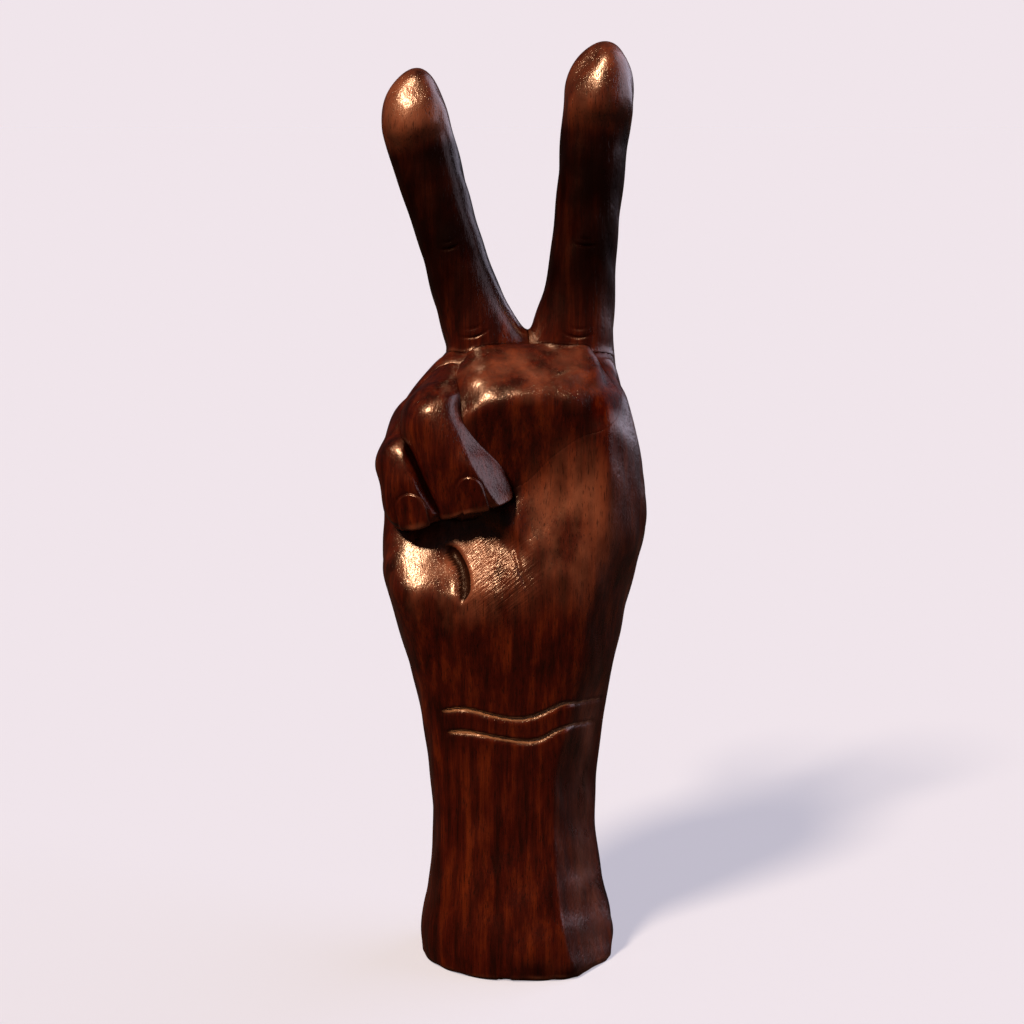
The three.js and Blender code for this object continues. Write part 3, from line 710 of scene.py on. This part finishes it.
# the nail's middle and the way to its tip, seen from the front, with its half width and arch
RING_NAIL = dict(middle=(-12.2, 135.6), way=(0.30, -0.95), half_width=3.7, arch=4.2)
LITTLE_NAIL = dict(middle=(-27.8, 130.4), way=(0.20, -0.98), half_width=4.3, arch=4.2)


def nail_depth(towards_tip, across, half_width, arch):
    """A groove along an arch that is open to the tip: a sharp edge of the plate, and outside a soft rise."""
    beyond = np.sqrt((across / half_width) ** 2 + (np.minimum(towards_tip, 0) / arch) ** 2)
    beyond = (beyond - 1) * half_width
    outside = np.exp(-np.clip(beyond, 0, None) / NAIL_HOLLOW)
    inside = np.clip(1 + beyond / NAIL_EDGE, 0, 1)
    return NAIL_STEP * np.where(beyond > 0, outside, inside)


def raised_cuts(p, line, stations):
    """Creases across a raised finger, and the nail on its back."""
    along, across, deep = finger_places(p, line)
    depth = np.zeros_like(along)
    for place, half_width, cut, side in CREASES:
        bow = place + CREASE_BOW * np.cos(across * CREASE_BEND) * side
        crease = cut * swell((along - bow) / CREASE_WALL) * swell(across / half_width)
        depth = depth + crease * ease(side * deep, *CREASE_OFF)
    towards_tip = along - (stations[-1, 0] - RAISED_NAIL["from_tip"])
    nail = nail_depth(towards_tip, across, RAISED_NAIL["half_width"], RAISED_NAIL["arch"])
    return depth + nail * ease(deep, *NAIL_OFF) * ease(towards_tip, *NAIL_ALONG)


def folded_cuts(p, nail):
    """The nail of a folded finger, on the side that faces the viewer."""
    dx, dz = p[..., 0] - nail["middle"][0], p[..., 2] - nail["middle"][1]
    way = np.array(nail["way"]) / np.linalg.norm(nail["way"])
    towards_tip = dx * way[0] + dz * way[1]
    across = dx * way[1] - dz * way[0]
    depth = nail_depth(towards_tip, across, nail["half_width"], nail["arch"])
    return depth * ease(-p[..., 1], *NAIL_FRONT) * ease(towards_tip, *NAIL_ALONG)


print("creases on each raised finger:", len(CREASES))

# %% [markdown]
# ## Marks of the tool
# No face of a hand-carved piece is quite even. Each cut leaves a shallow dip some millimetres wide, which the
# varnish shows as a wandering highlight. A few crossed waves, each less than a tenth of a millimetre high,
# give that unevenness.

# %% Shallow waves over all the wood
WAVE_HEIGHT = 0.085
# radians for each millimetre along x, y and z, the same of the slower wave that bends it, the slower wave's
# swing in radians, and the share of the height
WAVES = [
    ((0.62, 0.0, 0.21), (0.0, 0.4, 0.13), 1.4, 1.0),
    ((-0.33, 0.5, 0.44), (0.21, 0.0, 0.0), 1.1, 1.0),
    ((-0.51, 0.95, 0.27), (0.0, 0.0, 0.0), 0.0, 0.7),
]
# heights above the foot over which the waves come in
WAVES_BEGIN = (0.5, 6)


def tool_waves(p):
    """A sum of sine waves whose crests run in different directions, two of them bent by a slower wave."""
    height = np.zeros(p.shape[:-1])
    for turn, slow_turn, swing, share in WAVES:
        slow = swing * np.sin(p @ np.array(slow_turn))
        height = height + share * np.sin(p @ np.array(turn) + slow)
    return WAVE_HEIGHT * height


CUTS = {
    "forearm_and_palm": body_cuts,
    "index_finger": lambda p: raised_cuts(p, INDEX_LINE, INDEX),
    "middle_finger": lambda p: raised_cuts(p, MIDDLE_LINE, MIDDLE),
    "ring_finger": lambda p: folded_cuts(p, RING_NAIL),
    "little_finger": lambda p: folded_cuts(p, LITTLE_NAIL),
}


def carved(p, name):
    """A form with any cuts that it has and tool marks, which run out at the foot so that it stands flat."""
    cuts = CUTS[name](p) if name in CUTS else 0.0
    return own_forms(p)[name] + cuts + tool_waves(p) * ease(p[..., 2], *WAVES_BEGIN)


print("height of the waves in mm:", WAVE_HEIGHT)

# %% [markdown]
# ## Surfaces from rays
# A form is known as a function, and the mesh needs points on it. Marching cubes would give a mesh with no
# order. Instead each piece has a spine inside it, and rays leave the spine on a grid of two parameters: the
# angle round it and the way along it, with a fan over both ends. Each ray stops where its form is zero.

# %% Rays round a spine, and the mesh on their ends
FRONT_SHARE = 0.35
FIRST_REACH = 2.0
RAY_STEPS = 22
# share of the form's value by which a ray steps out, and its shortest and longest step in mm
STRIDE = 0.9
STRIDE_LIMITS = (0.05, 8.0)


def spine_rays(start, end, sides, rings):
    """Starts and directions of the rays: square to the spine along its length, fanned over the two ends.
    rings gives the rings in the first fan, along the spine and in the last fan. Angles crowd to the front."""
    start, end = np.array(start, float), np.array(end, float)
    axis = (end - start) / np.linalg.norm(end - start)
    front = np.array([0.0, -1.0, 0.0])
    front = front - (front @ axis) * axis
    front = front / np.linalg.norm(front)
    side = np.cross(axis, front)
    even = np.arange(sides) / sides * 2 * np.pi
    angle = even - FRONT_SHARE * np.sin(even)
    tilt = np.concatenate([
        np.linspace(-np.pi / 2, 0, rings[0] + 1)[1:],
        np.zeros(rings[1]),
        np.linspace(0, np.pi / 2, rings[2] + 1)[:-1],
    ])
    share = np.concatenate([np.zeros(rings[0]), np.linspace(0, 1, rings[1] + 2)[1:-1], np.ones(rings[2])])
    round_spine = np.cos(angle)[:, None] * front + np.sin(angle)[:, None] * side
    ways = np.cos(tilt)[:, None, None] * round_spine + (np.sin(tilt)[:, None] * axis)[:, None, :]
    starts = np.broadcast_to((start + share[:, None] * (end - start))[:, None, :], ways.shape)
    starts = np.concatenate([starts.reshape(-1, 3), start[None], end[None]])
    ways = np.concatenate([ways.reshape(-1, 3), -axis[None], axis[None]])
    return starts, ways


def ray_ends(form, starts, ways):
    """March out along each ray until the form turns positive, then close in on its zero from both sides:
    two steps where the straight line through both values is zero, then one to the middle, over and over."""
    low, high = np.zeros(len(starts)), np.full(len(starts), np.inf)
    low_value, high_value = np.full(len(starts), -1.0), np.ones(len(starts))
    reach = np.full(len(starts), FIRST_REACH)
    for step in range(RAY_STEPS):
        value = form(starts + reach[:, None] * ways)
        inside = value < 0
        low, low_value = np.where(inside, reach, low), np.where(inside, value, low_value)
        high, high_value = np.where(inside, high, reach), np.where(inside, high_value, value)
        caught = np.isfinite(high)
        gap = np.where(caught, high - low, 0.0)
        share = 0.5 if step % 3 == 2 else low_value / (low_value - high_value)
        reach = np.where(caught, low + gap * share, reach + np.clip(-STRIDE * value, *STRIDE_LIMITS))
    points = starts + reach[:, None] * ways
    return points, float(np.abs(form(points)).max())


def grid_faces(sides, rows):
    """Quads between neighbouring rings, closed round the spine, and triangles from each end to its pole."""
    ring = np.arange(rows - 1)[:, None] * sides
    here = np.arange(sides)
    after = np.roll(here, -1)
    corners = [ring + here, ring + after, ring + sides + after, ring + sides + here]
    quads = np.stack(corners, -1).reshape(-1, 4)
    low, high = rows * sides, rows * sides + 1
    top = (rows - 1) * sides
    caps = np.concatenate([
        np.stack([np.full(sides, low), after, here], -1),
        np.stack([np.full(sides, high), top + here, top + after], -1),
    ])
    return quads, caps


def write_mesh(name, points, quads, caps):
    """Put points in millimetres and their faces into a smooth mesh object in metres."""
    mesh = bpy.data.meshes.new(name)
    mesh.vertices.add(len(points))
    mesh.vertices.foreach_set("co", (points * MM).astype(np.float32).ravel())
    corners = np.concatenate([quads.ravel(), caps.ravel()]).astype(np.int32)
    sizes = np.concatenate([np.full(len(quads), 4), np.full(len(caps), 3)])
    mesh.loops.add(len(corners))
    mesh.loops.foreach_set("vertex_index", corners)
    mesh.polygons.add(len(sizes))
    mesh.polygons.foreach_set("loop_start", (np.cumsum(sizes) - sizes).astype(np.int32))
    mesh.polygons.foreach_set("use_smooth", np.ones(len(sizes), bool))
    mesh.update(calc_edges=True)
    mesh.validate()
    piece = bpy.data.objects.new(name, mesh)
    bpy.context.scene.collection.objects.link(piece)
    return piece


# the spine's two ends, the sides round it, and the rings over one end, along it and over the other
SPINES = {
    "forearm_and_palm": ((0, 0, 16), (0, 1, 156), 300, (40, 250, 40)),
    "thumb": ((-8, -9, 158), (17, -8, 156), 220, (60, 60, 60)),
    "index_finger": ((14.6, 6, 158), (21.4, 6, 239), 170, (16, 240, 44)),
    "middle_finger": ((-6.9, 6, 159), (-27.8, 6, 234), 170, (16, 230, 44)),
    "ring_finger": ((-19, -9, 151), (-10.5, -15, 139), 220, (80, 60, 70)),
    "little_finger": ((-27.6, -7, 142), (-26.3, -13, 133), 220, (80, 50, 70)),
}
made = {}
for name, (start, end, sides, rings) in SPINES.items():
    starts, ways = spine_rays(start, end, sides, rings)
    points, miss = ray_ends(lambda p: carved(p, name), starts, ways)
    made[name] = write_mesh(name + "_surface", points, *grid_faces(sides, sum(rings)))
    solid = np.array([list(corner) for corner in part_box(name)]) / MM
    print(f"{name}: {len(points)} points, largest miss {miss:.4f} mm")
    print("  surface", np.round([points.min(0), points.max(0)], 1).tolist())
    print("  solid", np.round(solid, 1).tolist())

# %% [markdown]
# ## Where creases are shaded and where hands rub
# The creases get painted shade and some dirt, and hands rub the ridges bright. Both follow the shape, so they
# are measured on it: a little outside a hollow the carving is still near on all sides, and a little inside a
# ridge the open air is near. Five more values go by place. They mark where the colour is darkened, on the
# raised fingers and in two patches at the foot, where the finish is worn, where a rasp left its marks, where a
# cut bared the wood, and where the varnish has gone dull beside the thumb.

# %% Values on the vertices
FEEL_OUT = 1.7
FEEL_IN = 2.2
# painted shade and dirt fill the crescent and palm line in part, and the raised fingers' creases and nails
SHADE_AND_DIRT_DEPTH = 1.6
PALM_SHADE_AND_DIRT = 0.4
SHADED_AND_DIRTY_CUTS = {
    "forearm_and_palm": lambda p: PALM_SHADE_AND_DIRT * palm_cuts(p),
    "index_finger": CUTS["index_finger"],
    "middle_finger": CUTS["middle_finger"],
}
# patches on the front: place across and height of the middle, reach across and up, and strength
RASPED = [(-5.5, 113.0, 15.0, 14.0, 1.0)]
WORN = [
    (14.0, 127.0, 17.0, 28.0, 1.0),
    (-14.0, 112.0, 27.0, 17.0, 1.0),
    (4.0, 167.0, 26.0, 9.0, 0.6),
    (21.0, 42.0, 8.0, 52.0, 0.9),
]
# two patches at the foot where the colour is darker
DARK_PATCHES_AT_FOOT = [(5.5, 3.0, 8.0, 5.0, 1.0), (15.0, 1.5, 10.0, 4.5, 1.0)]
DULL = [(24.0, 162.0, 10.0, 14.0, 1.0)]
# distances in front of the middle over which the patches come in
PATCH_FRONT = (2, 7)
# lengths along a raised finger over which its dark length begins, and lengths past the pad's lower edge over
# which the dark length ends and the rubbed tip begins
DARK_BEGINS = (20, 40)
DARK_ENDS = (-4, 3)
RUBBED_BEGINS = (-4, 5)


def whole_hand(p):
    """The carving as one form: the least of the six."""
    return np.minimum.reduce(list(own_forms(p).values()))


def front_patches(p, patches):
    """1 in the middle of each patch, falling to 0 at its edge, on the front only."""
    value = np.zeros(len(p))
    for x, z, reach_x, reach_z, strength in patches:
        away = np.hypot((p[:, 0] - x) / reach_x, (p[:, 2] - z) / reach_z)
        value = np.maximum(value, strength * swell(away) * ease(-p[:, 1], *PATCH_FRONT))
    return value


def finger_marks(name, p):
    """Two values on a raised finger: 1 on its dark length, and 1 on its rubbed pad and tip."""
    if name not in RAISED:
        return np.zeros(len(p)), np.zeros(len(p))
    line, stations = RAISED[name]
    along = finger_places(p, line)[0]
    past_pad = along - stations[PAD_STATION, 0]
    dark_length = ease(along, *DARK_BEGINS) * (1 - ease(past_pad, *DARK_ENDS))
    return dark_length, line["rubbed"] * ease(past_pad, *RUBBED_BEGINS)


for name, piece in made.items():
    mesh = piece.data
    points = np.empty(len(mesh.vertices) * 3, np.float32)
    normals = np.empty(len(mesh.vertices) * 3, np.float32)
    mesh.vertices.foreach_get("co", points)
    mesh.vertex_normals.foreach_get("vector", normals)
    points = points.reshape(-1, 3).astype(float) / MM
    normals = normals.reshape(-1, 3).astype(float)
    dark_length, rubbed_tip = finger_marks(name, points)
    body = name == "forearm_and_palm"
    crease_shade_and_dirt = SHADED_AND_DIRTY_CUTS[name](points) if name in SHADED_AND_DIRTY_CUTS else np.zeros(len(points))
    # painted shade: near is 1 where the carving closes round a point, as deep in a crease, and darkens the
    # colour there
    near = 1 - whole_hand(points + FEEL_OUT * normals) / FEEL_OUT
    values = {
        "hollow": np.clip(near + crease_shade_and_dirt / SHADE_AND_DIRT_DEPTH, 0, 1),
        "ridge": np.clip(1 + whole_hand(points - FEEL_IN * normals) / FEEL_IN, 0, 1),
        # darker colour along the raised fingers below their pads and in two patches at the foot
        "darkened": np.maximum(dark_length, front_patches(points, DARK_PATCHES_AT_FOOT) * body),
        "worn": np.maximum(rubbed_tip, front_patches(points, WORN)),
        "rasped": front_patches(points, RASPED),
        "bare": np.clip(bare_cuts(points) / WRIST_DEPTH, 0, 1) * body,
        "dull": front_patches(points, DULL),
    }
    for value_name, value in values.items():
        layer = mesh.attributes.new(value_name, "FLOAT", "POINT")
        layer.data.foreach_set("value", value.astype(np.float32))
    print(name, {k: round(float(v.mean()), 3) for k, v in values.items()})

# %% [markdown]
# ## The finish
# The wood is a straight-grained, mahogany-like hardwood under a dark red-brown stain and a satin varnish. A
# picture of wood could be wrapped round it, but the grain would bend with every form. The grain here runs up
# through the block, as in one piece of timber, so all six pieces share it: noise stretched along the height.

# %% Grain of the wood
# lump size in mm along x, y and z, detail, turn in degrees about the front axis, and the range that counts
GRAIN = {
    "streaks": ((2.4, 2.4, 42.0), 3.0, 0, (0.35, 0.67)),
    "fibres": ((0.45, 0.45, 9.0), 2.0, 0, (0.30, 0.70)),
    "pores": ((0.30, 0.30, 3.2), 1.0, 0, (0.60, 0.70)),
    "clouds": ((9.0, 9.0, 16.0), 3.0, 0, (0.36, 0.64)),
    "ripples": ((1.2, 1.2, 1.8), 2.0, 0, (0.30, 0.70)),
    "rasp_marks": ((0.55, 3.0, 6.0), 2.0, 50, (0.34, 0.66)),
}
NOISE_ROUGHNESS = 0.55
wood = bpy.data.materials.new("stained_mahogany_satin_varnish")
wood.use_nodes = True
tree = wood.node_tree
tree.nodes.clear()
place = add(tree, "TexCoord", out="Object")
grain = {}
for name, (size, detail, turn, (low, high)) in GRAIN.items():
    lumps = add(tree, "Mapping", {
        "Vector": place, "Rotation": (0, math.radians(turn), 0), "Scale": tuple(MM * mm for mm in size),
    }, vector_type="TEXTURE")
    noise = add(tree, "TexNoise", {
        "Vector": lumps, "Scale": 1.0, "Detail": detail, "Roughness": NOISE_ROUGHNESS,
    })
    grain[name] = add(tree, "MapRange", {0: noise, 1: low, 2: high})
marks = {name: add(tree, "Attribute", out="Fac", attribute_name=name) for name in values}
print("grain layers:", list(grain), "marks:", list(marks))

# %% [markdown]
# The stain lies unevenly. It is darkest in the pores, the creases carry painted shade and dirt, and the
# colour is darker along the raised fingers and in two patches at the foot. The stain is worn thin on the pads,
# the ridges and the ball of the thumb. Each such layer is laid over the one before by a share between 0 and 1,
# which follows the grain or a value on the vertices.

# %% Colour of the stain
DARK_STREAK = "#1E0401"
MID_STAIN = "#390B03"
PALE_STREAK = "#5A2007"
# the darkest colour: stain in the pores, the darkened lengths and patches, and painted shade with dirt in the
# creases
DARKEST_STAIN_AND_CREASE_SHADE = "#0C0302"
RUBBED = "#945C45"
BARE_WOOD = "#AE7F5E"
PORE_SHARE = 0.6
TONE_WEIGHTS = (("streaks", 0.50), ("fibres", 0.22), ("clouds", 0.28))
tone = 0.0
for name, weight in TONE_WEIGHTS:
    tone = add(tree, "Math", {0: grain[name], 1: weight, 2: tone}, operation="MULTIPLY_ADD")
# what a share follows, the range of it that counts, and the share at both ends of that range
ranges = {
    "mid_stain": (tone, 0.15, 0.50, 0.0, 1.0),
    "pale_streaks": (tone, 0.50, 0.90, 0.0, 1.0),
    "thinned": (grain["clouds"], 0.0, 1.0, 0.06, 0.66),
    "uneven_darkening": (grain["clouds"], 0.0, 1.0, 0.97, 0.80),
    "patchy": (grain["clouds"], 0.2, 0.9, 0.1, 0.5),
    "edges": (marks["ridge"], 0.12, 0.60, 0.0, 1.0),
    "crease_shade_and_dirt": (marks["hollow"], 0.20, 0.75, 0.0, 0.92),
    "bared": (marks["bare"], 0.25, 0.75, 0.0, 0.80),
}
shares = {name: add(tree, "MapRange", dict(enumerate(row))) for name, row in ranges.items()}
# a share, what it is multiplied by, and the colour that it lays over those before
layers = [
    (shares["mid_stain"], 1.0, MID_STAIN),
    (shares["pale_streaks"], 1.0, PALE_STREAK),
    (marks["worn"], shares["thinned"], RUBBED),
    # the darkened lengths of the raised fingers and two patches at the foot
    (marks["darkened"], shares["uneven_darkening"], DARKEST_STAIN_AND_CREASE_SHADE),
    (grain["pores"], PORE_SHARE, DARKEST_STAIN_AND_CREASE_SHADE),
    (shares["edges"], shares["patchy"], RUBBED),
    # painted shade, with some dirt, in the creases and hollows
    (shares["crease_shade_and_dirt"], 1.0, DARKEST_STAIN_AND_CREASE_SHADE),
    (shares["bared"], 1.0, BARE_WOOD),
]
colour = linear(DARK_STREAK)
for share, times, laid_over in layers:
    part = add(tree, "Math", {0: share, 1: times}, operation="MULTIPLY")
    colour = add(tree, "Mix", {0: part, 6: colour, 7: linear(laid_over)}, out=2, data_type="RGBA")
print("layers of stain:", len(layers))

# %% [markdown]
# The varnish is satin, and it tints its highlights amber. They break up over fine ripples from the tool, open
# pores and, on the palm, the slanting marks of a rasp. The ripples are a few hundredths of a millimetre high
# and the rasp marks two tenths, too fine for the mesh, so both are relief in the material. The finish is dull
# in creases, on the darkened fingers and patches, and beside the thumb.

# %% Satin varnish with fine relief
RELIEF = 0.07
RELIEF_WEIGHTS = (("fibres", 0.32), ("pores", -0.3), ("ripples", 0.45))
RASP_RELIEF = 3.0
DULL_WEIGHTS = (("darkened", 0.62), ("hollow", 1.0), ("dull", 1.0))
DULL_RANGE = (0.25, 0.75)
DULL_SHINE = 0.08
ROUGHNESS = (0.26, 0.36)
SHEEN = 0.5
COAT_SHARE = 0.75
COAT_ROUGHNESS = 0.22
AMBER = "#FFD2B6"
ground = 0.0
for name, weight in RELIEF_WEIGHTS:
    ground = add(tree, "Math", {0: grain[name], 1: weight, 2: ground}, operation="MULTIPLY_ADD")
rasp_share = add(tree, "Math", {0: marks["rasped"], 1: RASP_RELIEF}, operation="MULTIPLY")
height = add(tree, "Math", {0: grain["rasp_marks"], 1: rasp_share, 2: ground}, operation="MULTIPLY_ADD")
relief = add(tree, "Bump", {"Height": height, "Strength": 1.0, "Distance": RELIEF * MM})
roughness = add(tree, "MapRange", {0: grain["clouds"], 3: ROUGHNESS[0], 4: ROUGHNESS[1]})
dull = 0.0
for name, weight in DULL_WEIGHTS:
    dull = add(tree, "Math", {0: marks[name], 1: weight, 2: dull}, operation="MULTIPLY_ADD")
shine = add(tree, "MapRange", {0: dull, 1: DULL_RANGE[0], 2: DULL_RANGE[1], 3: 1.0, 4: DULL_SHINE})
sheen = add(tree, "Math", {0: shine, 1: SHEEN}, operation="MULTIPLY")
coat = add(tree, "Math", {0: shine, 1: COAT_SHARE}, operation="MULTIPLY")
varnish = add(tree, "BsdfPrincipled", {
    "Base Color": colour, "Roughness": roughness, "IOR": 1.5, "Specular IOR Level": sheen, "Normal": relief,
    "Specular Tint": linear(AMBER), "Coat Weight": coat, "Coat Roughness": COAT_ROUGHNESS,
    "Coat Normal": relief,
})
add(tree, "OutputMaterial", {"Surface": varnish})
print("nodes in the wood:", len(tree.nodes))

# %% [markdown]
# ## Putting the pieces in place
# Each surface takes the place of its solid and rides on the one body that the carving has.

# %% Wood on every piece
for name, piece in made.items():
    piece.data.materials.append(wood)
    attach(piece, "root")
    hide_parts(name)
